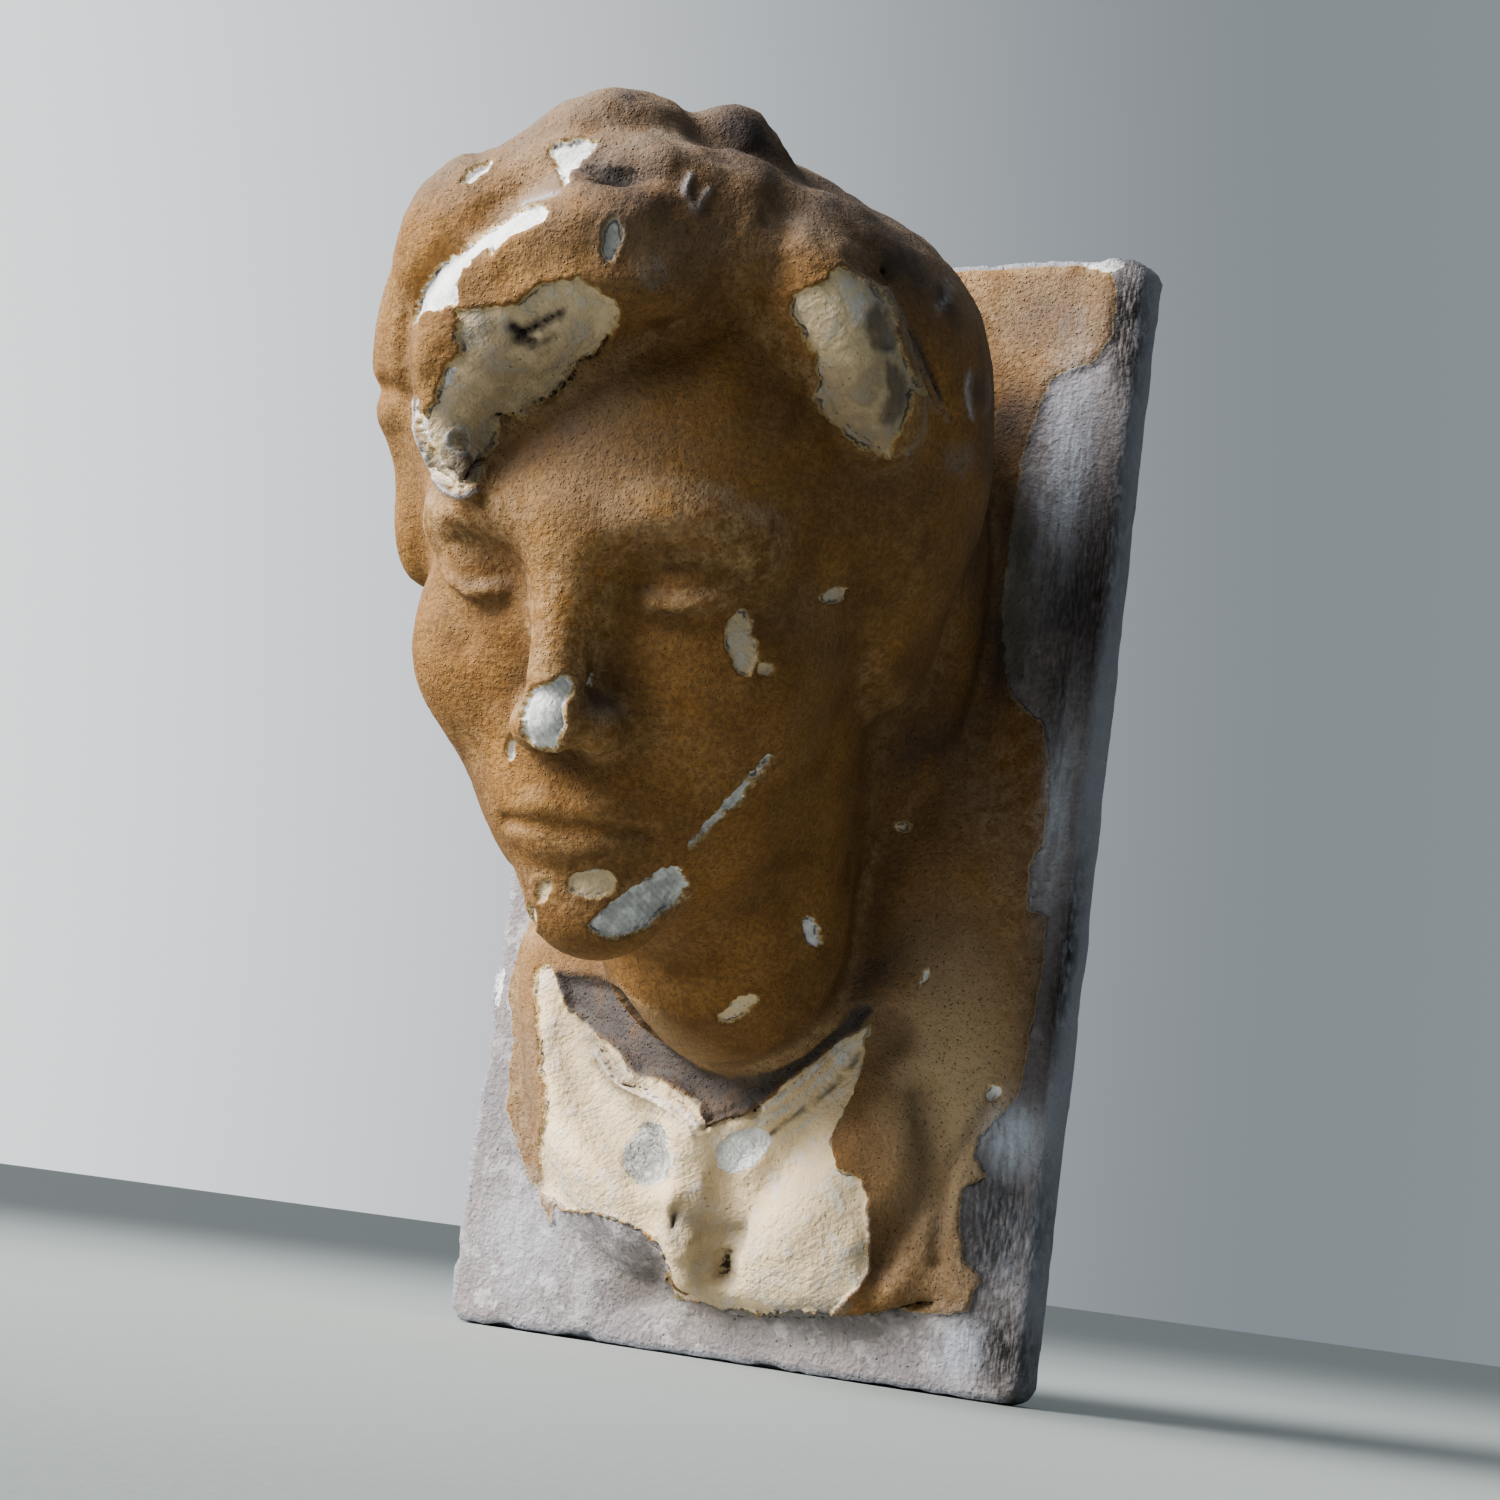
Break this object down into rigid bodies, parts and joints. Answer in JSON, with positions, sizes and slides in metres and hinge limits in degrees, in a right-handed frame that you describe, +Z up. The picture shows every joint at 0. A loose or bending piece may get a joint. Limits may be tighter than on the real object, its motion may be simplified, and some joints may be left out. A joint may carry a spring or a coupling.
{
  "type": "plaster head ornament",
  "caption": "Wall ornament in painted plaster: a bowed head in high relief with swept hair, on a draped bust, cast together with its tall rectangular backing slab",
  "frame": {"origin": "middle of the slab's flat back, which lies against the wall", "axes": "+X to the right as the viewer faces the ornament, +Y into the wall, +Z up along the slab's height"},
  "size_m": [0.208, 0.2294, 0.3613],
  "materials": {
    "plaster": "matte"
  },
  "bodies": {
    "root": {"plaster_head_ornament": "plaster"}
  },
  "joints": []
}
